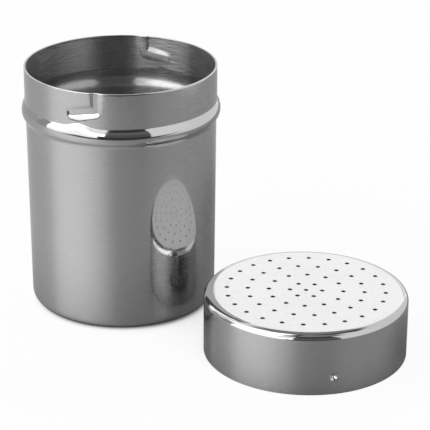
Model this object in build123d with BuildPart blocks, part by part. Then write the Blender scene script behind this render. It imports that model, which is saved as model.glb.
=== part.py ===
from build123d import *
import os
from math import cos, radians, sin, sqrt, tan

# A stainless spice shaker: a deep-drawn canister with a bayonet neck, and its perforated cap.
# Both are one-piece pressings in thin sheet. The cap's two inward dimples enter the neck's two
# L-shaped tracks from the rim, and a short turn draws the skirt down on to the stop bead.
# The cap is off, and stands upright beside the canister.
# Millimetres, +Z up, origin at the centre of the canister's base.

# ---------------------------------------------------------------- driving dimensions
# Sheet
canister_wall = 0.5
cap_wall = 0.5

# Canister, outside sizes
canister_height = 89.2  # base to rim
neck_diameter = 68.8  # straight cylinder that the cap slides over
body_step = 0.25  # how much the wall is drawn in under the bead, from the neck's radius
body_taper = 0.55  # how much the wall draws in from the bead to the base
base_corner_radius = 4.0
base_margin = 8.6  # from the wall's foot to the raised panel, with a ring to stand on
base_panel_rise = 0.8
base_panel_slope = 1.6  # run of the slope round the panel

# Stop bead, rolled outward under the neck
bead_centre_depth = 15.8  # below the rim
bead_height = 6.2  # crease to crease, measured on the neck
bead_stand_out = 1.2  # beyond the neck
bead_upper_blend = 0.6
bead_lower_blend = 2.0

# Bayonet track, pressed inward: an entry leg down from the rim, then a falling leg
track_count = 2
track_azimuth = -110.0  # the press tool's direction for the first track
track_depth = 0.9
track_centre_depth = 7.0  # of the falling leg, below the rim, on the tool's centre line
track_fall_angle = 9.5  # the leg falls towards its closed end
track_floor_width = 2.0
track_closed_reach = 4.7  # from the tool's centre line to the closed end
track_entry_reach = 5.7  # from the tool's centre line to the far side of the entry
track_draft = 55.0  # flank's slope from the pressing direction
track_corner_radius = 0.8  # in plan
track_lip_blend = 1.2
track_floor_blend = 0.6

# Cap, outside sizes
cap_clearance = 0.6  # radial, skirt to neck
cap_height = 22.4
cap_shoulder_radius = 3.4

# Cap dimples, the bayonet's lugs
dimple_diameter = 2.6
dimple_azimuth = -76.7
dimple_floor_clearance = 0.4  # from a dimple's tip to the track's floor
dimple_rise = 0.6  # a closed dimple rides this far above the leg's centre line

# Shaker holes: one in the middle, then rings with six more holes in each than in the last
hole_diameter = 1.5
hole_edge_margin = 4.55  # from the outermost ring to the edge of the flat top
hole_ring_pitch = 7.32
hole_ring_step = 6
hole_start_azimuth = -4.4

# Where the cap stands beside the canister
cap_stand_gap = 9.0  # from the skirt to the bead, in plan
cap_stand_azimuth = -35.14

# ---------------------------------------------------------------- derived sizes
neck_radius = neck_diameter / 2
body_top_radius = neck_radius - body_step
body_base_radius = body_top_radius - body_taper
base_panel_radius = body_base_radius - base_margin
bead_z = canister_height - bead_centre_depth
bead_radius = neck_radius + bead_stand_out
bead_section_radius = ((bead_height / 2) ** 2 + bead_stand_out**2) / (2 * bead_stand_out)
bead_ring_radius = bead_radius - bead_section_radius
track_floor_radius = neck_radius - track_depth
track_z = canister_height - track_centre_depth
track_fall = tan(radians(track_fall_angle))

cap_inner_radius = neck_radius + cap_clearance
cap_radius = cap_inner_radius + cap_wall
cap_flat_radius = cap_radius - cap_shoulder_radius
cap_distance = cap_radius + cap_stand_gap + bead_radius
cap_plane = Plane(
    origin=(
        cap_distance * cos(radians(cap_stand_azimuth)),
        cap_distance * sin(radians(cap_stand_azimuth)),
        0,
    )
)

# The closed cap's skirt stops where the bead is as wide as its bore, with the dimples in the legs
stop_depth = bead_centre_depth - sqrt(
    bead_section_radius**2 - (cap_inner_radius - bead_ring_radius) ** 2
)
closed_leg_reach = track_closed_reach - track_floor_width / 2
closed_leg_depth = track_centre_depth + track_fall * closed_leg_reach
dimple_height = stop_depth - closed_leg_depth + dimple_rise  # centre, above the skirt's edge
dimple_depth = cap_clearance + track_depth - dimple_floor_clearance
dimple_radius = ((dimple_diameter / 2) ** 2 + dimple_depth**2) / (2 * dimple_depth)
dimple_reach = cap_radius - dimple_depth + dimple_radius  # sphere centre from the axis

hole_outer_ring = cap_flat_radius - hole_edge_margin
hole_ring_count = round(hole_outer_ring / hole_ring_pitch)

OVERSHOOT = 5.0  # how far a cutter runs past what it cuts
TOOL_LEAD = 0.3  # how far the track tool starts behind the track's floor
SEAM_AZIMUTH = 20.0  # keeps the round faces' seams clear of both tracks

seam_plane = Plane(
    origin=(0, 0, 0),
    x_dir=(cos(radians(SEAM_AZIMUTH)), sin(radians(SEAM_AZIMUTH)), 0),
    z_dir=(sin(radians(SEAM_AZIMUTH)), -cos(radians(SEAM_AZIMUTH)), 0),
)  # upright through the axis: local X points outward, local Y up


def on_cylinder(edge, radius):
    """True where a whole edge lies at one distance from the axis."""
    points = [edge.position_at(share / 4) for share in range(5)]
    return all(abs(Vector(point.X, point.Y).length - radius) < 0.01 for point in points)


def track_outline(growth):
    """The track's outline across the tool, each side moved outward by growth."""
    half_width = (track_floor_width / 2 + growth) / cos(radians(track_fall_angle))
    closed_end = -track_closed_reach - growth
    entry_near = track_entry_reach - track_floor_width - growth
    entry_far = track_entry_reach + growth
    open_end = canister_height + OVERSHOOT
    Polyline(
        (closed_end, track_z + track_fall * closed_end - half_width),
        (entry_far, track_z + track_fall * entry_far - half_width),
        (entry_far, open_end),
        (entry_near, open_end),
        (entry_near, track_z + track_fall * entry_near + half_width),
        (closed_end, track_z + track_fall * closed_end + half_width),
        close=True,
    )


def track_tool(inset):
    """The press tool of a track facing +X; inset swells it to the sheet's far side."""
    nose = track_floor_radius * cos(track_entry_reach / track_floor_radius)
    with BuildPart() as tool:
        for distance in (nose - inset - TOOL_LEAD, neck_radius + OVERSHOOT):
            flank_run = (distance - nose) * tan(radians(track_draft))
            growth = flank_run + inset / cos(radians(track_draft))
            with BuildSketch(Plane.YZ.offset(distance)):
                with BuildLine():
                    track_outline(growth)
                make_face()
        loft(ruled=True)
        corners = edges().group_by(Axis.X)[1].sort_by(Axis.Z)[:4]
        fillet(corners, track_corner_radius)
        Cylinder(
            track_floor_radius - inset,
            2 * (canister_height + OVERSHOOT),
            rotation=(0, 0, 180),
            mode=Mode.SUBTRACT,
        )
    return tool.part


def canister_form(inset, top):
    """The canister up to a given height as a solid, each outside surface moved in by inset."""
    with BuildPart() as form:
        with BuildSketch(seam_plane):
            with BuildLine():
                Polyline(
                    (0, base_panel_rise + inset),
                    (base_panel_radius - base_panel_slope, base_panel_rise + inset),
                    (base_panel_radius, inset),
                    (body_base_radius - inset, inset),
                    (body_top_radius - inset, bead_z),
                    (neck_radius - inset, bead_z),
                    (neck_radius - inset, top),
                    (0, top),
                    close=True,
                )
            make_face()
            base_corner = vertices().sort_by_distance((body_base_radius - inset, inset, 0))[0]
            fillet(base_corner, base_corner_radius - inset)
        revolve(axis=Axis.Z)
        with Locations((0, 0, bead_z)):
            Torus(bead_ring_radius, bead_section_radius - inset)
        creases = (
            edges()
            .filter_by(GeomType.CIRCLE)
            .filter_by_position(Axis.Z, bead_z - bead_height, bead_z + bead_height)
            .sort_by(Axis.Z)
        )
        fillet(creases[-1], bead_upper_blend + inset)
        fillet(creases[0], bead_lower_blend + inset)
        with PolarLocations(0, track_count, track_azimuth):
            add(track_tool(inset), mode=Mode.SUBTRACT)
        pressed = edges(Select.LAST).filter_by(GeomType.CIRCLE, reverse=True)
        lip = pressed.filter_by(lambda edge: on_cylinder(edge, neck_radius - inset))
        floor = pressed.filter_by(lambda edge: on_cylinder(edge, track_floor_radius - inset))
        fillet(floor.sort_by(Axis.Z), track_floor_blend)
        fillet(lip.sort_by(Axis.Z), track_lip_blend)
    return form.part


def cap_form(inset, bottom):
    """The cap as a solid from a given height up, each outside surface moved in by inset."""
    with BuildPart() as form:
        with BuildSketch(seam_plane):
            with BuildLine():
                Polyline(
                    (0, bottom),
                    (cap_radius - inset, bottom),
                    (cap_radius - inset, cap_height - inset),
                    (0, cap_height - inset),
                    close=True,
                )
            make_face()
            shoulder = vertices().sort_by_distance((cap_radius, cap_height, 0))[0]
            fillet(shoulder, cap_shoulder_radius - inset)
        revolve(axis=Axis.Z)
        with PolarLocations(dimple_reach, track_count, dimple_azimuth):
            with Locations((0, 0, dimple_height)):
                Sphere(dimple_radius + inset, mode=Mode.SUBTRACT)
    return form.part


# ---------------------------------------------------------------- canister
with BuildPart() as canister:
    add(canister_form(0.0, canister_height))
    add(canister_form(canister_wall, canister_height + OVERSHOOT), mode=Mode.SUBTRACT)
canister.part.label = "canister"

# ---------------------------------------------------------------- perforated cap
with BuildPart(cap_plane) as perforated_cap:
    add(cap_form(0.0, 0.0))
    add(cap_form(cap_wall, -OVERSHOOT), mode=Mode.SUBTRACT)
    with Locations((0, 0, cap_height)):
        Hole(hole_diameter / 2, 2 * cap_wall)
        for ring in range(1, hole_ring_count + 1):
            ring_radius = hole_outer_ring - (hole_ring_count - ring) * hole_ring_pitch
            with PolarLocations(ring_radius, ring * hole_ring_step, hole_start_azimuth):
                Hole(hole_diameter / 2, 2 * cap_wall)
perforated_cap.part.label = "perforated_cap"

# ---------------------------------------------------------------- files
os.makedirs("parts", exist_ok=True)
export_step(canister.part, "parts/canister.step")
export_step(perforated_cap.part, "parts/perforated_cap.step")
for piece in (canister, perforated_cap):
    print(piece.part.label, len(piece.part.solids()), round(piece.part.volume, 1), piece.part.is_valid)
print("dimples", round(dimple_height, 2), "above the edge,", round(dimple_depth, 2), "deep")
print("cap at", round(cap_plane.origin.X, 2), round(cap_plane.origin.Y, 2))
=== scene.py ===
import math

import bpy
import numpy as np
from mathutils import Matrix, Vector
from mathutils.geometry import delaunay_2d_cdt


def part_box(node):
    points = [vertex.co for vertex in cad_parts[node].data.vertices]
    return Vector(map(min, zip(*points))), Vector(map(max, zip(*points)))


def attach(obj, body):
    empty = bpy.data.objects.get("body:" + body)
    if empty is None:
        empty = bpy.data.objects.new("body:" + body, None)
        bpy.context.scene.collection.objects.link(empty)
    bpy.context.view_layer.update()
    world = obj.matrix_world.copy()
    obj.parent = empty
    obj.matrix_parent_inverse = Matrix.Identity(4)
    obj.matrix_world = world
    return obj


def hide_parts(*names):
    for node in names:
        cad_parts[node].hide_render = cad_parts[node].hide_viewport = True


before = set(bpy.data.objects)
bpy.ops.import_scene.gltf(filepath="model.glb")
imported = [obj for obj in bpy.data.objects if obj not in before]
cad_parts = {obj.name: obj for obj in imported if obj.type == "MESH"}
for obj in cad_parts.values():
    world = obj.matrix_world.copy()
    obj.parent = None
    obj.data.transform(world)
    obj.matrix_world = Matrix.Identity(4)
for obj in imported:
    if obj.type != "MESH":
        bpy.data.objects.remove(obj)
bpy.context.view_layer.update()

# A stainless spice shaker: the canister with its bayonet neck, and the perforated cap beside it.
# Lengths are in millimetres and angles in degrees. MM turns lengths into the frame's metres.
# The materials and the studio are in metres, and say so.
MM = 0.001

# ---------------------------------------------------------------- sizes from the frame
canister_low, canister_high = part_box("canister")
cap_low, cap_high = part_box("perforated_cap")
canister_height = canister_high.z / MM
bead_radius = min(canister_high.x, -canister_low.x, canister_high.y, -canister_low.y) / MM
cap_radius = min(cap_high.x - cap_low.x, cap_high.y - cap_low.y) / 2 / MM
cap_height = cap_high.z / MM
cap_centre = ((cap_low.x + cap_high.x) / 2 / MM, (cap_low.y + cap_high.y) / 2 / MM)

# ---------------------------------------------------------------- sizes of the canister
wall = 0.5
body_step = 0.25  # how much the wall is drawn in under the bead, from the neck's radius
body_taper = 0.55  # how much the wall draws in from the bead to the base
base_corner_radius = 4.0
base_margin = 8.6  # from the wall's foot to the raised panel
base_panel_rise = 0.8
base_panel_slope = 1.6
base_panel_blend = 0.7

rim_round = 0.18
rim_lip = 0.22  # the trimmed edge is this much thicker, on the inside
rim_lip_start = 0.5  # below the rim's round, where it starts to thicken
rim_lip_end = 0.1  # below the rim's round, where it is as thick as it gets

bead_centre_depth = 15.8  # below the rim
bead_height = 6.2
bead_stand_out = 1.2  # beyond the neck
bead_drop = 0.4  # how far the widest place lies below the bead's centre
bead_upper_blend = 0.35
bead_lower_round = 3.5  # the section's radius under the widest place, down to bead_lower_turn
bead_lower_turn = 40.0  # degrees: from there a long hollow run leads into the body

# ---------------------------------------------------------------- sizes of the bayonet tracks
track_count = 2
track_azimuth = -110.0
track_depth = 0.65  # the softened floor lies this deep
track_centre_depth = 7.0  # below the rim
track_fall_angle = 9.5
track_floor_width = 2.0
track_closed_reach = 5.2  # from the tool's centre line to the closed end
track_entry_reach = 5.7  # from the tool's centre line to the entry's far side
track_corner_radius = 0.6
closed_rise = 0.4  # share of its depth that the floor loses towards the closed end
closed_rise_start = 1.0  # where that begins, from the tool's centre line towards the closed end
closed_rise_run = 4.0

# The flanks are soft, and the leg's upper and lower flanks are hollow as well
flank_inner = -0.3  # the flanks run from here to flank_outer, measured from the floor's edge
flank_outer = 1.6
lower_flank_power = 2  # the higher, the hollower
upper_flank_power = 1.4
upper_flank_reach = 2.0  # from the leg's middle towards the entry, where the upper one's hollow ends
lower_flank_run = 1.2  # the lower flank's width away from lower_flank_place
lower_flank_spread = 1.8  # how much wider it is where it reaches down to the bead
lower_flank_place = -1.5  # where that is, from the tool's centre line
lower_flank_left = 6.0  # how far the spread reaches from there to either side
lower_flank_right = 8.0
crease_lift = 1.5  # how far the press pulled up the bead's crease there
crease_lift_width = 5.5  # from there to where the lift has fallen to a seventh
crease_lift_fade = 4.0  # the lift ends this far above the crease

# Other flanks' widths, as shares of flank_outer
closed_flank_share = 0.8  # at the closed end
entry_near_share = 0.45  # at the entry, on the leg's side
entry_foot_share = 0.6  # at the entry's far side, beside the leg
entry_far_share = 1.6  # at the entry's far side, entry_far_rise above the leg
entry_far_rise = 9.0

# ---------------------------------------------------------------- sizes of the cap
cap_shoulder_radius = 3.4  # across the top
cap_shoulder_drop = 2.6  # down the skirt
cap_edge_round = 0.18
dimple_count = 2
dimple_azimuth = -76.7
dimple_height = 6.51
dimple_depth = 1.1
dimple_reach = 1.65  # radius of its soft edge

hole_radius = 0.75
hole_roll = 0.08  # the punch draws each hole's edge down by this much
hole_bevel_height = 0.04  # at the hole's underside
hole_bevel_width = 0.03
hole_margin = 0.1  # from the hole to the ring that the plate's underside joins
hole_edge_margin = 4.55  # from the outermost ring of holes to the edge of the flat top
hole_ring_pitch = 7.32
hole_ring_step = 6
hole_start_azimuth = -4.4

# ---------------------------------------------------------------- sizes worked out
neck_radius = bead_radius - bead_stand_out
body_top_radius = neck_radius - body_step
body_base_radius = body_top_radius - body_taper
base_panel_radius = body_base_radius - base_margin
bead_z = canister_height - bead_centre_depth
crease_z = bead_z + bead_height / 2
track_z = canister_height - track_centre_depth
track_azimuths = [track_azimuth + number * 360 / track_count for number in range(track_count)]

cap_flat_radius = cap_radius - cap_shoulder_radius
hole_outer_ring = cap_flat_radius - hole_edge_margin
hole_ring_count = round(hole_outer_ring / hole_ring_pitch)
dimple_azimuths = [dimple_azimuth + number * 360 / dimple_count for number in range(dimple_count)]

# ---------------------------------------------------------------- fineness of the meshes
BLEND_STEP = 6.0  # degrees from point to point of an arc
BEAD_STEP = 3.0
BEAD_LOWER_STEP = 4.0
SHOULDER_STEP = 3.5
EDGE_STEP = 15.0  # the rim's and the skirt's
HOLE_EDGE_STEP = 22.5
NECK_SPACING = 0.28  # from point to point up the neck, where the tracks are
BODY_SPACING = 4.0
DIMPLE_SPACING = 0.2
DIMPLE_MARGIN = 1.5  # beyond a dimple, as far as its spacing holds
SKIRT_SPACING = 1.5
CANISTER_SIDES = 344
TRACK_SIDES = (9.0, 3.5)  # within 9 degrees of a track the sides are 3.5 times closer together
CAP_SIDES = 384
DIMPLE_SIDES = (3.0, 4.5)
HOLE_SIDES = 28
AZIMUTH_SAMPLES = 7200  # places round the circle at which the sides' closeness is summed
PLATE_TOLERANCE = 1e-6
HOLE_SHARE = 0.99  # a triangle with its middle within this share of a hole's ring fills the hole
GUARD = 0.12  # a flat strip of this width keeps the shading of a flat true up to its edge


# ---------------------------------------------------------------- outlines
def eased(value):
    """0 below 0, 1 above 1, and a soft rise between."""
    value = np.clip(value, 0.0, 1.0)
    return value * value * (3 - 2 * value)


def arc(centre, radius, start, end, step):
    """Points of an arc in (radius, height), from one angle to another in degrees."""
    count = max(2, math.ceil(abs(end - start) / step))
    angles = np.radians(np.linspace(start, end, count + 1))
    return [(centre[0] + radius * math.cos(a), centre[1] + radius * math.sin(a)) for a in angles]


def rounded(corners):
    """A path through corners given as (radius, height, blend), with an arc at each blended one."""
    points = []
    for number, (x, z, blend) in enumerate(corners):
        if blend == 0:
            points.append((x, z))
            continue
        here = np.array((x, z))
        before = np.array(corners[number - 1][:2]) - here
        after = np.array(corners[number + 1][:2]) - here
        before /= np.linalg.norm(before)
        after /= np.linalg.norm(after)
        half = math.acos(np.clip(before @ after, -1, 1)) / 2
        bisector = (before + after) / np.linalg.norm(before + after)
        centre = here + bisector * blend / math.sin(half)
        first = here + before * blend / math.tan(half) - centre
        last = here + after * blend / math.tan(half) - centre
        start = math.degrees(math.atan2(first[1], first[0]))
        turn = math.degrees(math.atan2(last[1], last[0])) - start
        turn = (turn + 180) % 360 - 180
        points += arc(centre, blend, start, start + turn, BLEND_STEP)
    return points


def refined(points, spacing):
    """The path with its straight runs cut into steps of spacing(height), or up to half as long again."""
    fine = [points[0]]
    for following in points[1:]:
        here, target = np.array(fine[-1]), np.array(following)
        while math.dist(here, target) > 1.5 * spacing(here[1]):
            here = here + (target - here) * spacing(here[1]) / math.dist(here, target)
            fine.append(tuple(here))
        fine.append(following)
    return fine


def turn_from(centre, azimuths):
    """How far azimuths lie from a centre, from -180 to 180 degrees."""
    return (azimuths - centre + 180) % 360 - 180


def spread_azimuths(count, centres, reach, closeness):
    """Azimuths round the circle, closer together by a factor within reach of each centre.

    The factor fades out over half as far again."""
    fine = np.linspace(0, 360, AZIMUTH_SAMPLES, endpoint=False)
    density = np.ones_like(fine)
    for centre in centres:
        off = np.abs(turn_from(centre, fine))
        density += (closeness - 1) * eased((1.5 * reach - off) / (0.5 * reach))
    summed = np.concatenate(([0], np.cumsum(density)))
    shares = np.arange(count) / count * summed[-1]
    return np.interp(shares, summed, np.append(fine, 360.0))


# ---------------------------------------------------------------- meshes
class Surface:
    """Vertices in millimetres and faces, gathered from several parts of one skin."""

    def __init__(self):
        self.points = []
        self.faces = []

    def add(self, points):
        start = len(self.points)
        self.points += [tuple(p) for p in points]
        return list(range(start, len(self.points)))

    def bridge(self, ring, following):
        """Quads from one closed ring of vertices to the next."""
        after, following_after = ring[1:] + ring[:1], following[1:] + following[:1]
        self.faces += list(zip(ring, after, following_after, following))

    def fan(self, ring, middle):
        """Triangles from a closed ring to one point."""
        self.faces += [(a, b, middle) for a, b in zip(ring, ring[1:] + ring[:1])]

    def piece(self, name, centre=(0.0, 0.0)):
        """The finished object, with its axis at the centre."""
        points = (np.array(self.points) + (centre[0], centre[1], 0)) * MM
        mesh = bpy.data.meshes.new(name)
        mesh.from_pydata(points.tolist(), [], self.faces)
        mesh.polygons.foreach_set("use_smooth", [True] * len(self.faces))
        mesh.validate()
        mesh.update()
        made = bpy.data.objects.new(name, mesh)
        bpy.context.scene.collection.objects.link(made)
        return made


def turned(surface, path, azimuths, shaped):
    """Rings of one path turned about the axis; shaped() gives each ring's radii and heights."""
    rings = []
    radians = np.radians(azimuths)
    for radius, height in path:
        if radius == 0:
            rings.append(surface.add([(0, 0, height)]))
            continue
        radii, heights = np.full_like(azimuths, radius), np.full_like(azimuths, height)
        radii, heights = shaped(azimuths, radii, heights)
        ring = np.stack([radii * np.cos(radians), radii * np.sin(radians), heights], 1)
        rings.append(surface.add(ring))
    for ring, following in zip(rings, rings[1:]):
        if len(ring) == 1:
            surface.fan(following[::-1], ring[0])
        elif len(following) == 1:
            surface.fan(ring, following[0])
        else:
            surface.bridge(ring, following)
    return rings


def box_distance(across, along, half_across, half_along, corner):
    """Distance to a rectangle with round corners, negative inside it."""
    over_across = np.abs(across) - (half_across - corner)
    over_along = np.abs(along) - (half_along - corner)
    outside = np.hypot(np.maximum(over_across, 0), np.maximum(over_along, 0))
    return outside + np.minimum(np.maximum(over_across, over_along), 0) - corner


def blended_minimum(a, b, width):
    """The lesser of two distances, rounded where they meet."""
    share = np.clip(0.5 + 0.5 * (b - a) / width, 0, 1)
    return b + (a - b) * share - width * share * (1 - share)


# ---------------------------------------------------------------- canister
def canister_path(inset):
    """The canister's section from the middle of its base to its rim, moved in by inset."""
    neck = neck_radius - inset
    body = body_top_radius - inset
    base = body_base_radius - inset
    widest_z = bead_z - bead_drop

    # The bead above its widest place, and the blend from there into the neck
    rise = bead_height / 2 + bead_drop
    section = (rise**2 + bead_stand_out**2) / (2 * bead_stand_out)
    middle = bead_radius - section
    blend = bead_upper_blend + inset
    blend_run = neck + blend - middle
    blend_rise = math.sqrt((section - inset + blend) ** 2 - blend_run**2)
    blend_angle = math.degrees(math.atan2(blend_rise, blend_run))

    # The bead under its widest place, and the hollow run from there into the body
    turn = math.radians(bead_lower_turn)
    fall = bead_radius - bead_lower_round * (1 - math.cos(turn)) - body_top_radius
    hollow = fall / (1 - math.cos(turn))
    foot_z = widest_z - (bead_lower_round + hollow) * math.sin(turn)

    path = rounded(
        [
            (0.0, base_panel_rise + inset, 0),
            (base_panel_radius - base_panel_slope, base_panel_rise + inset, base_panel_blend),
            (base_panel_radius, inset, base_panel_blend),
            (base, inset, base_corner_radius - inset),
            (body, foot_z - GUARD, 0),
        ]
    )
    hollow_middle = (body_top_radius + hollow, foot_z)
    path += arc(hollow_middle, hollow + inset, 180, 180 - bead_lower_turn, BEAD_LOWER_STEP)
    lower_middle = (bead_radius - bead_lower_round, widest_z)
    path += arc(lower_middle, bead_lower_round - inset, -bead_lower_turn, 0, BEAD_LOWER_STEP)[1:]
    path += arc((middle, widest_z), section - inset, 0, blend_angle, BEAD_STEP)[1:]
    blend_middle = (neck + blend, widest_z + blend_rise)
    path += arc(blend_middle, blend, 180 + blend_angle, 180, BLEND_STEP)[1:]
    rim = canister_height - rim_round
    if inset == 0:
        return path + [(neck, rim)] + arc((neck - rim_round, rim), rim_round, 0, 90, EDGE_STEP)[1:]
    lip = neck - rim_lip
    path += [(neck, rim - rim_lip_start), (lip, rim - rim_lip_end), (lip, rim)]
    return path + arc((lip + rim_round, rim), rim_round, 180, 90, EDGE_STEP)[1:]


def canister_shape(azimuths, radii, heights):
    """Pulls the bead's crease up towards the bayonet tracks, and presses the tracks into the neck."""
    places = [np.radians(turn_from(centre, azimuths)) * neck_radius for centre in track_azimuths]
    lift = np.zeros_like(radii)
    for across in places:
        lift += crease_lift * np.exp(-2 * ((across - lower_flank_place) / crease_lift_width) ** 2)
    up = np.clip((heights - bead_z) / (crease_z - bead_z), 0, 1) ** 2
    down = np.clip((crease_z + crease_lift_fade - heights) / crease_lift_fade, 0, 1)
    heights = heights + lift * np.minimum(up, down)
    pressed = np.zeros_like(radii)
    for across in places:
        pressed += track_depth * track_share(across, heights)
    return radii - pressed, heights


def track_share(across, heights):
    """How far one track is pressed in, from 0 to 1, at places measured from its tool's centre line."""
    slope = math.radians(track_fall_angle)
    half_width = track_floor_width / 2
    rise = heights - track_z
    along = across * math.cos(slope) + rise * math.sin(slope)
    above = rise * math.cos(slope) - across * math.sin(slope)

    # Under the leg, distances are scaled to the lower flank's width
    reach = np.where(across > lower_flank_place, lower_flank_right, lower_flank_left)
    near = np.clip(1 - np.abs((across - lower_flank_place) / reach), 0, 1)
    below = -half_width - above
    scaled = below * flank_outer / (lower_flank_run + lower_flank_spread * near)
    below = np.where(below > 0, scaled, below)
    above = -half_width - below

    # The distance to the leg's floor
    beyond = np.minimum(along + track_closed_reach, 0) * (1 / closed_flank_share - 1)
    leg_middle = (track_entry_reach - track_closed_reach) / 2
    leg_half = (track_entry_reach + track_closed_reach) / 2
    leg = box_distance(along + beyond - leg_middle, above, leg_half, half_width, track_corner_radius)

    # The distance to the entry's floor, which runs up through the rim, and to both floors
    aside = across - track_entry_reach + half_width
    climb = np.clip((above + half_width) / entry_far_rise, 0, 1)
    far_share = entry_foot_share + (entry_far_share - entry_foot_share) * climb
    side = np.abs(aside) - half_width
    side = np.where(side > 0, side / np.where(aside > 0, far_share, entry_near_share), side)
    under = -half_width - above
    corner = np.hypot(np.maximum(side, 0), np.maximum(under, 0))
    entry = corner + np.minimum(np.maximum(side, under), 0)
    leg = np.where(aside > 0, np.maximum(leg, side), leg)
    distance = blended_minimum(leg, entry, track_corner_radius)

    # From that distance to the depth
    shallow = 1 - closed_rise * eased((-closed_rise_start - along) / closed_rise_run)
    soft = 1 - eased((distance - flank_inner) / (flank_outer - flank_inner))
    hollow = 1 - np.clip(distance / flank_outer, 0, 1)
    lower = eased(0.5 - 0.5 * above / half_width)
    upper = eased(0.5 + 0.5 * above / half_width) * eased(leg_middle + upper_flank_reach - across)
    lower_share = (hollow**lower_flank_power - soft) * lower
    upper_share = (hollow**upper_flank_power - soft) * upper
    return (soft + lower_share + upper_share) * shallow


def canister_spacing(height):
    """The spacing along the canister's section at a height."""
    return NECK_SPACING if height > crease_z else BODY_SPACING


def make_canister():
    azimuths = spread_azimuths(CANISTER_SIDES, track_azimuths, *TRACK_SIDES)
    outside = refined(canister_path(0.0), canister_spacing)
    inside = refined(canister_path(wall), canister_spacing)
    surface = Surface()
    outer_rings = turned(surface, outside, azimuths, canister_shape)
    outer_count = len(surface.faces)
    inner_rings = turned(surface, inside[::-1], azimuths, canister_shape)
    surface.bridge(outer_rings[-1], inner_rings[0])
    made = surface.piece("canister_shell")
    inner = np.arange(len(made.data.polygons)) >= outer_count
    made.data.polygons.foreach_set("material_index", inner.astype(np.int32))
    return made


# ---------------------------------------------------------------- perforated cap
def cap_path(inset):
    """The cap's section from its lower edge to the edge of its flat top, moved in by inset."""
    radius = cap_radius - inset
    top = cap_height - inset
    if inset == 0:
        path = arc((radius - cap_edge_round, cap_edge_round), cap_edge_round, -90, 0, EDGE_STEP)
    else:
        path = arc((radius + cap_edge_round, cap_edge_round), cap_edge_round, 270, 180, EDGE_STEP)
    shoulder, drop = cap_shoulder_radius - inset, cap_shoulder_drop - inset
    quarter = arc((0, 0), 1.0, 0, 90, SHOULDER_STEP)
    path += [(radius - shoulder * (1 - x), top - drop * (1 - z)) for x, z in quarter]
    path.append((radius - shoulder - GUARD, top))
    return path


def cap_shape(azimuths, radii, heights):
    """Presses the bayonet dimples into rings of the skirt."""
    pressed = np.zeros_like(radii)
    for centre in dimple_azimuths:
        across = np.radians(turn_from(centre, azimuths)) * cap_radius
        off = np.hypot(across, heights - dimple_height) / dimple_reach
        pressed += dimple_depth * (0.5 + 0.5 * np.cos(np.pi * np.clip(off, 0, 1)))
    return radii - pressed, heights


def cap_spacing(height):
    """The spacing along the cap's section at a height."""
    near = abs(height - dimple_height) < dimple_reach + DIMPLE_MARGIN
    return DIMPLE_SPACING if near else SKIRT_SPACING


def hole_places():
    """The centres of the shaker holes, from the cap's axis."""
    places = [(0.0, 0.0)]
    for ring in range(1, hole_ring_count + 1):
        radius = hole_outer_ring - (hole_ring_count - ring) * hole_ring_pitch
        for number in range(ring * hole_ring_step):
            azimuth = math.radians(hole_start_azimuth + number * 360 / (ring * hole_ring_step))
            places.append((radius * math.cos(azimuth), radius * math.sin(azimuth)))
    return places


def make_holes(surface):
    """The walls of the shaker holes, each with a rolled upper edge. Gives their end rings."""
    top, underside = cap_height, cap_height - wall
    turns = np.radians(np.arange(HOLE_SIDES) * 360 / HOLE_SIDES)
    section = [(hole_radius + hole_roll + GUARD / 2, top)]
    section += arc((hole_radius + hole_roll, top - hole_roll), hole_roll, 90, 180, HOLE_EDGE_STEP)
    section += [(hole_radius, underside + hole_bevel_height), (hole_radius + hole_bevel_width, underside)]
    section += [(hole_radius + hole_margin, underside)]
    upper_rings, lower_rings = [], []
    for x, y in hole_places():
        hole = []
        for radius, height in section:
            circle = np.stack([x + radius * np.cos(turns), y + radius * np.sin(turns)], 1)
            hole.append(surface.add([(a, b, height) for a, b in circle]))
        for ring, following in zip(hole, hole[1:]):
            surface.bridge(following, ring)
        upper_rings.append(hole[0])
        lower_rings.append(hole[-1])
    return upper_rings, lower_rings


def fill_plate(surface, outer_ring, hole_rings, upward):
    """Triangles between the plate's outer ring and its holes' rings, all at one height."""
    loops = [outer_ring] + hole_rings
    order = [v for loop in loops for v in loop]
    flat = [Vector(surface.points[v][:2]) for v in order]
    edges, start = [], 0
    for loop in loops:
        count = len(loop)
        edges += [(start + i, start + (i + 1) % count) for i in range(count)]
        start += count
    centres = np.array([np.mean([surface.points[v][:2] for v in loop], 0) for loop in hole_rings])
    ring_radius = math.dist(surface.points[hole_rings[0][0]][:2], centres[0])
    found = delaunay_2d_cdt(flat, edges, [], 0, PLATE_TOLERANCE)
    source = [origin[0] for origin in found[3]]
    for triangle in found[2]:
        middle = np.mean([flat[source[v]] for v in triangle], 0)
        in_a_hole = np.min(np.hypot(*(centres - middle).T)) < ring_radius * HOLE_SHARE
        if not in_a_hole:
            face = [order[source[v]] for v in triangle]
            surface.faces.append(tuple(face) if upward else tuple(face[::-1]))


def make_cap():
    azimuths = spread_azimuths(CAP_SIDES, dimple_azimuths, *DIMPLE_SIDES)
    outside = refined(cap_path(0.0), cap_spacing)
    inside = refined(cap_path(wall), cap_spacing)
    surface = Surface()
    rings = turned(surface, inside[::-1] + outside, azimuths, cap_shape)
    upper_rings, lower_rings = make_holes(surface)
    fill_plate(surface, rings[-1], upper_rings, True)
    fill_plate(surface, rings[0], lower_rings, False)
    return surface.piece("perforated_cap_shell", cap_centre)


# ---------------------------------------------------------------- node helpers
def add_node(tree, kind, inputs=(), **settings):
    """A node with its settings, and its inputs set to values or linked to other sockets."""
    node = tree.nodes.new(kind)
    for name, value in settings.items():
        setattr(node, name, value)
    for name, value in dict(inputs).items():
        if isinstance(value, bpy.types.NodeSocket):
            tree.links.new(value, node.inputs[name])
        else:
            node.inputs[name].default_value = value
    return node


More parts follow.
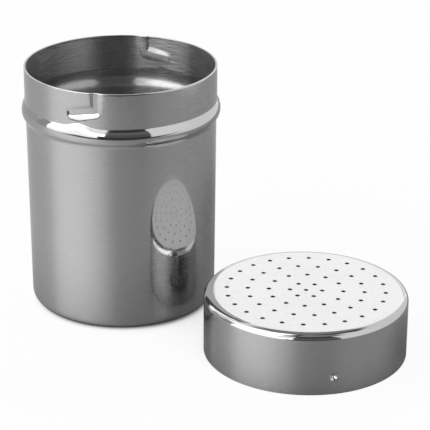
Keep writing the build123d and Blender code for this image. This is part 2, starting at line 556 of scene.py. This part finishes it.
def arithmetic(tree, operation, *values):
    """The result of a Math node."""
    return add_node(tree, "ShaderNodeMath", dict(enumerate(values)), operation=operation).outputs[0]


def product(tree, first, second):
    """The product of two sockets, or of a socket and a value."""
    return arithmetic(tree, "MULTIPLY", first, second)


def total(tree, first, second):
    """The sum of two sockets, or of a socket and a value."""
    return arithmetic(tree, "ADD", first, second)


def ranged(tree, value, low, high, to_low, to_high, kind="SMOOTHSTEP"):
    """The result of a Map Range node."""
    inputs = {"Value": value, "From Min": low, "From Max": high, "To Min": to_low, "To Max": to_high}
    return add_node(tree, "ShaderNodeMapRange", inputs, interpolation_type=kind).outputs["Result"]


def mixed_colour(tree, share, first, second):
    """A colour between two greys: the first at share 0, and the second at 1."""
    inputs = {0: share, 6: (first, first, first, 1), 7: (second, second, second, 1)}
    return add_node(tree, "ShaderNodeMix", inputs, data_type="RGBA").outputs[2]


def mixed_shader(tree, share, first, second):
    """A mix of two shaders: the first at share 0, and the second at 1."""
    return add_node(tree, "ShaderNodeMixShader", {0: share, 1: first, 2: second}).outputs[0]


def noise(tree, vector, scale, detail, roughness):
    """The value of a Noise texture."""
    inputs = {"Vector": vector, "Scale": scale, "Detail": detail, "Roughness": roughness}
    return add_node(tree, "ShaderNodeTexNoise", inputs).outputs["Fac"]


def new_material(name):
    """A new material with an empty node tree, and the tree."""
    material = bpy.data.materials.new(name)
    material.use_nodes = True
    tree = material.node_tree
    tree.nodes.clear()
    return material, tree


# ---------------------------------------------------------------- steel, in metres
LINE_STRETCH = 240.0  # how many times finer the brushing is across its lines than along them
SCRATCH_NOISE = (200.0, 1.0, 0.5)  # scale, detail and roughness of the fine scratches
LINE_NOISE = (30.0, 3.0, 0.6)  # and of the coarser lines, which are bump
CLOUD_NOISE = (55.0, 3.0, 0.5)  # and of the clouds in the tone
CLOUD_TONE = 0.03  # how much lighter the clouds are
NOISE_MIDDLE = 0.5  # the scratches' noise lies round this value
NOISE_SPREAD = 0.35  # and mostly within this spread
SCRATCH_EDGE = 0.06  # half the softness of the scratches' edges
POLISH = 0.8  # share of the scratches that polishing takes away
POLISHED_BUMP = 0.1  # share of the bump that it leaves
BUMP_DISTANCE = 0.000004
ACROSS_THE_LINES = 0.25  # of a turn, so that highlights stretch across the brushing

# tone, roughness of the mirror and of the scratches, scratched share, anisotropy, bump of the lines
OUTSIDE = (0.57, 0.06, 0.45, 0.13, 0.5, 0.004)
INSIDE = (0.44, 0.17, 0.42, 0.5, 1.0, 0.001)
CAP = (0.55, 0.07, 0.45, 0.13, 0.5, 0.004)

# lowest and highest height and the softness of the polished band, in millimetres
BEAD_POLISH = (bead_z - 3.5, bead_z + 2.7, 0.6)
SHOULDER_POLISH = (cap_height - 3.2, cap_height - 0.2, 0.15)
NO_POLISH = (-9, -8, 0.5)  # under the floor


def steel(name, centre, rise_sign, polished, tone, mirror, scratched, share, anisotropy, line_bump):
    """Stainless steel with turned brushing round an axis, polished between two heights.

    mirror and scratched are its roughness between its fine scratches and in them, and share is how
    much is scratched. rise_sign is 1 where the section's corner rises outward, and -1 where it falls."""
    material, tree = new_material(name)
    place = add_node(tree, "ShaderNodeTexCoord").outputs["Object"]
    axis = (centre[0] * MM, centre[1] * MM, 0)
    local = add_node(tree, "ShaderNodeVectorMath", {0: place, 1: axis}, operation="SUBTRACT").outputs[0]
    x, y, z = add_node(tree, "ShaderNodeSeparateXYZ", {0: local}).outputs
    radius = arithmetic(tree, "SQRT", total(tree, product(tree, x, x), product(tree, y, y)))
    along = total(tree, z, product(tree, radius, rise_sign))
    stretched = {0: x, 1: y, 2: product(tree, along, LINE_STRETCH)}
    lines = add_node(tree, "ShaderNodeCombineXYZ", stretched).outputs[0]
    scratches = noise(tree, lines, *SCRATCH_NOISE)
    coarse = noise(tree, lines, *LINE_NOISE)
    cloud = noise(tree, local, *CLOUD_NOISE)

    low, high, softness = polished
    over = ranged(tree, z, (low - softness) * MM, low * MM, 0.0, 1.0)
    under = ranged(tree, z, high * MM, (high + softness) * MM, 1.0, 0.0)
    polish = product(tree, over, under)
    edge = NOISE_MIDDLE + NOISE_SPREAD * (0.5 - share)
    haze = ranged(tree, scratches, edge - SCRATCH_EDGE, edge + SCRATCH_EDGE, 0.0, 1.0, "LINEAR")
    kept = arithmetic(tree, "SUBTRACT", 1.0, product(tree, polish, POLISH))
    haze = product(tree, haze, kept)
    strength = ranged(tree, polish, 0.0, 1.0, line_bump, POLISHED_BUMP * line_bump, "LINEAR")
    relief = {"Height": coarse, "Strength": strength, "Distance": BUMP_DISTANCE}
    shader = add_node(
        tree,
        "ShaderNodeBsdfPrincipled",
        {
            "Base Color": mixed_colour(tree, cloud, tone, tone + CLOUD_TONE),
            "Metallic": 1.0,
            "Roughness": ranged(tree, haze, 0.0, 1.0, mirror, scratched, "LINEAR"),
            "Anisotropic": anisotropy,
            "Anisotropic Rotation": ACROSS_THE_LINES,
            "Normal": add_node(tree, "ShaderNodeBump", relief).outputs[0],
            "Tangent": add_node(tree, "ShaderNodeTangent", direction_type="RADIAL", axis="Z").outputs[0],
        },
    )
    add_node(tree, "ShaderNodeOutputMaterial", {"Surface": shader.outputs[0]})
    return material


# ---------------------------------------------------------------- studio, in metres
WHITE = (1, 1, 1, 1)
BEHIND_GLASS = 0.5  # share of the white for rays that come through something clear

FLOOR_LEFT, FLOOR_RIGHT = -1.6, 1.6
FLOOR_FRONT, FLOOR_BACK = -0.30, 1.8
FLOOR_ALBEDO = 0.11  # what it gives the steel
FLOOR_SEEN_ALBEDO = 0.8  # what the camera sees in the shadows
FLOOR_SEEN_WHITE = 0.93  # share of plain white that the camera sees in the open
FLOOR_ROUGHNESS = 0.5
FLOOR_GLOSS = 0.345
FLOOR_NEARNESS = 0.06  # a piece nearer than this shades the floor
NEARNESS_SAMPLES = 8
# Ramps: from one value to another, and what they turn into
FLOOR_SHADOW = (0.0, 0.5, 0.0, 1.0)  # openness to the white that the camera sees
FLOOR_SHADE = (0.3, 1.0, 0.25, 1.0)  # openness to the shine and the white that the steel mirrors
FLOOR_GLOSS_ACROSS = (0.02, 0.12, 1.0, 0.5)  # x to the gloss: duller on the right
FLOOR_PAINTED_WHITE_ACROSS = (0.265, 0.325, 0.14, 0.9)  # x to the white: painted light, brighter far off on the right as if a softbox lit it
# Painted shade: patches where the floor's gloss and the white glow that the steel mirrors are turned down
FLOOR_PAINTED_SHADE_PATCHES = (  # centre, inner and outer radius, and the share of the shine that is left
    ((0.108, -0.038, 0), 0.008, 0.036, 0.45),  # right of the cap
    ((0.055, 0.060, 0), 0.020, 0.120, 0.40),  # behind both pieces
)

ROOM = 0.05  # radiance of the dark room
PANELS = (  # centre azimuth, half width, lowest and highest elevation, radiance, and the edges' softness
    (213, 33, -4, 9, 1.5, 2, 4, 4),  # left softbox
    (217, 37, 9, 24, 2.9, 2, 4, 4),
    (205, 26, 24, 82, 2.8, 6, 4, 8),
    (170, 10, 34, 70, 1.7, 6, 4, 8),
    (171, 9, -4, 34, 0.35, 3, 4, 4),
    (242, 12, 24, 56, 1.2, 4, 4, 10),
    (332, 26, 12, 55, 0.95, 2, 4, 8),  # right softbox
    (346, 14, 55, 68, 0.9, 8, 6, 8),
    (332, 26, -4, 12, 0.93, 2, 4, 4),
    (30, 32, -4, 57, 0.88, 2, 4, 8),
    (88, 27, 17, 54, 1.45, 3, 6, 10),  # backdrop
    (104, 13, -2, 14, 1.2, 2, 4, 6),
    (76, 15, -2, 16, 1.0, 2, 4, 4),
    (138, 24, -4, 20, 0.42, 3, 4, 4),
    (138, 24, 20, 60, 1.0, 3, 4, 8),
    (100, 64, 60, 88, 0.25, 3, 8, 8),
    (280, 26, 2, 20, 0.06, 2, 3, 4),  # the dim front of the room
    (280, 26, 20, 37, 0.12, 2, 4, 6),
    (300, 46, 60, 90, 0.25, 2, 8, 2),
)

CAMERA_PLACE = (33.803, -647.535, 300.272)  # millimetres
CAMERA_PITCH = 22.570  # down
CAMERA_ROLL = 0.303
CAMERA_LENS = 160.02  # millimetres
CAMERA_SENSOR = 36.0  # millimetres
CAMERA_CLIP = (0.01, 20.0)


def seen_share(tree, camera, glossy, transmission):
    """A share for each of three kinds of ray, and 0 for the rest."""
    path = add_node(tree, "ShaderNodeLightPath")
    share = product(tree, path.outputs["Is Camera Ray"], camera)
    for kind, kind_share in (("Is Glossy Ray", glossy), ("Is Transmission Ray", transmission)):
        share = total(tree, share, product(tree, path.outputs[kind], kind_share))
    return share


def floor_material():
    """White to the camera but for the shadows; to the steel, a satin of uneven gloss that glows with
    painted light and painted shade.
    """
    material, tree = new_material("pale_floor")
    place = add_node(tree, "ShaderNodeTexCoord").outputs["Object"]
    across = add_node(tree, "ShaderNodeSeparateXYZ", {0: place}).outputs["X"]
    reach = {"Distance": FLOOR_NEARNESS}
    occlusion = add_node(tree, "ShaderNodeAmbientOcclusion", reach, samples=NEARNESS_SAMPLES)
    openness = occlusion.outputs["AO"]
    # Painted shade: near the pieces, and in the patches, the floor's gloss and its white glow are turned
    # down
    shade = ranged(tree, openness, *FLOOR_SHADE, "LINEAR")
    for centre, inner, outer, least in FLOOR_PAINTED_SHADE_PATCHES:
        ends = {0: place, 1: centre}
        away = add_node(tree, "ShaderNodeVectorMath", ends, operation="DISTANCE").outputs["Value"]
        shade = product(tree, shade, ranged(tree, away, inner, outer, least, 1.0))

    camera_ray = add_node(tree, "ShaderNodeLightPath").outputs["Is Camera Ray"]
    colour = mixed_colour(tree, camera_ray, FLOOR_ALBEDO, FLOOR_SEEN_ALBEDO)
    paper = add_node(tree, "ShaderNodeBsdfDiffuse", {"Color": colour}).outputs[0]
    satin = {"Color": WHITE, "Roughness": FLOOR_ROUGHNESS}
    sheen = add_node(tree, "ShaderNodeBsdfGlossy", satin).outputs[0]
    gloss = seen_share(tree, 0.0, FLOOR_GLOSS, 0.0)
    gloss = product(tree, gloss, ranged(tree, across, *FLOOR_GLOSS_ACROSS))
    surface = mixed_shader(tree, product(tree, gloss, shade), paper, sheen)

    white = add_node(tree, "ShaderNodeEmission", {"Color": WHITE, "Strength": 1.0}).outputs[0]
    seen = seen_share(tree, FLOOR_SEEN_WHITE, 0.0, BEHIND_GLASS)
    seen = product(tree, seen, ranged(tree, openness, *FLOOR_SHADOW, "LINEAR"))
    # Painted light and painted shade: the floor glows white to glossy rays, less near the pieces and in
    # the patches, and more far off on the right
    mirrored = product(tree, seen_share(tree, 0.0, 1.0, 0.0), shade)
    mirrored = product(tree, mirrored, ranged(tree, across, *FLOOR_PAINTED_WHITE_ACROSS))
    shown = mixed_shader(tree, total(tree, seen, mirrored), surface, white)

    clear = add_node(tree, "ShaderNodeBsdfTransparent").outputs[0]
    from_below = add_node(tree, "ShaderNodeNewGeometry").outputs["Backfacing"]
    add_node(tree, "ShaderNodeOutputMaterial", {"Surface": mixed_shader(tree, from_below, shown, clear)})
    return material


def make_floor():
    """A pale floor that looks white, keeps the shadows and isn't there from below."""
    corners = [
        (FLOOR_LEFT, FLOOR_FRONT, 0),
        (FLOOR_RIGHT, FLOOR_FRONT, 0),
        (FLOOR_RIGHT, FLOOR_BACK, 0),
        (FLOOR_LEFT, FLOOR_BACK, 0),
    ]
    mesh = bpy.data.meshes.new("floor")
    mesh.from_pydata(corners, [], [(0, 1, 2, 3)])
    floor = bpy.data.objects.new("floor", mesh)
    bpy.context.scene.collection.objects.link(floor)
    mesh.materials.append(floor_material())


def panel(tree, direction, centre, half_width, low, high, radiance, side_edge, low_edge, high_edge):
    """The light of one soft panel round the studio, between two elevations."""
    x, y, z = direction
    cosine, sine = math.cos(math.radians(centre)), math.sin(math.radians(centre))
    ahead = total(tree, product(tree, x, cosine), product(tree, y, sine))
    aside = arithmetic(tree, "SUBTRACT", product(tree, y, cosine), product(tree, x, sine))
    off = arithmetic(tree, "ABSOLUTE", arithmetic(tree, "ARCTAN2", aside, ahead))
    off = arithmetic(tree, "DEGREES", off)
    elevation = arithmetic(tree, "DEGREES", arithmetic(tree, "ARCSINE", z))
    across = ranged(tree, off, half_width - side_edge / 2, half_width + side_edge / 2, 1.0, 0.0)
    over = ranged(tree, elevation, low - low_edge / 2, low + low_edge / 2, 0.0, 1.0)
    under = ranged(tree, elevation, high - high_edge / 2, high + high_edge / 2, radiance, 0.0)
    return product(tree, across, product(tree, over, under))


def make_world():
    """White where the camera sees it, and soft panels round a dark room for the rest."""
    world = bpy.data.worlds.new("studio")
    bpy.context.scene.world = world
    world.use_nodes = True
    tree = world.node_tree
    tree.nodes.clear()
    place = add_node(tree, "ShaderNodeTexCoord").outputs["Generated"]
    direction = add_node(tree, "ShaderNodeSeparateXYZ", {0: place}).outputs
    light = ROOM
    for settings in PANELS:
        light = total(tree, light, panel(tree, direction, *settings))
    room = add_node(tree, "ShaderNodeBackground", {"Color": WHITE, "Strength": light}).outputs[0]
    white = add_node(tree, "ShaderNodeBackground", {"Color": WHITE, "Strength": 1.0}).outputs[0]
    shown = mixed_shader(tree, seen_share(tree, 1.0, 0.0, BEHIND_GLASS), room, white)
    add_node(tree, "ShaderNodeOutputWorld", {"Surface": shown})


def make_camera():
    """The camera stands in front, looks along +Y and down, and is rolled a little."""
    pitch, roll = math.radians(CAMERA_PITCH), math.radians(CAMERA_ROLL)
    right = Vector((1, 0, 0))
    forward = Vector((0, math.cos(pitch), -math.sin(pitch)))
    up = Vector((0, math.sin(pitch), math.cos(pitch)))
    camera_x = right * math.cos(roll) + up * math.sin(roll)
    camera_y = up * math.cos(roll) - right * math.sin(roll)
    turn = Matrix((camera_x, camera_y, -forward)).transposed()
    data = bpy.data.cameras.new("camera")
    data.sensor_width = CAMERA_SENSOR
    data.lens = CAMERA_LENS
    data.clip_start, data.clip_end = CAMERA_CLIP
    camera = bpy.data.objects.new("camera", data)
    bpy.context.scene.collection.objects.link(camera)
    camera.matrix_world = Matrix.Translation(Vector(CAMERA_PLACE) * MM) @ turn.to_4x4()
    bpy.context.scene.camera = camera


# ---------------------------------------------------------------- the scene
make_camera()
make_floor()
make_world()

canister = make_canister()
canister.data.materials.append(steel("canister_brushed_steel", (0, 0), 1.0, BEAD_POLISH, *OUTSIDE))
canister.data.materials.append(steel("canister_inner_steel", (0, 0), 1.0, NO_POLISH, *INSIDE))
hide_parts("canister")
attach(canister, "canister")

cap = make_cap()
cap.data.materials.append(steel("cap_brushed_steel", cap_centre, -1.0, SHOULDER_POLISH, *CAP))
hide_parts("perforated_cap")
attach(cap, "cap")

bpy.context.scene.view_settings.view_transform = "Standard"
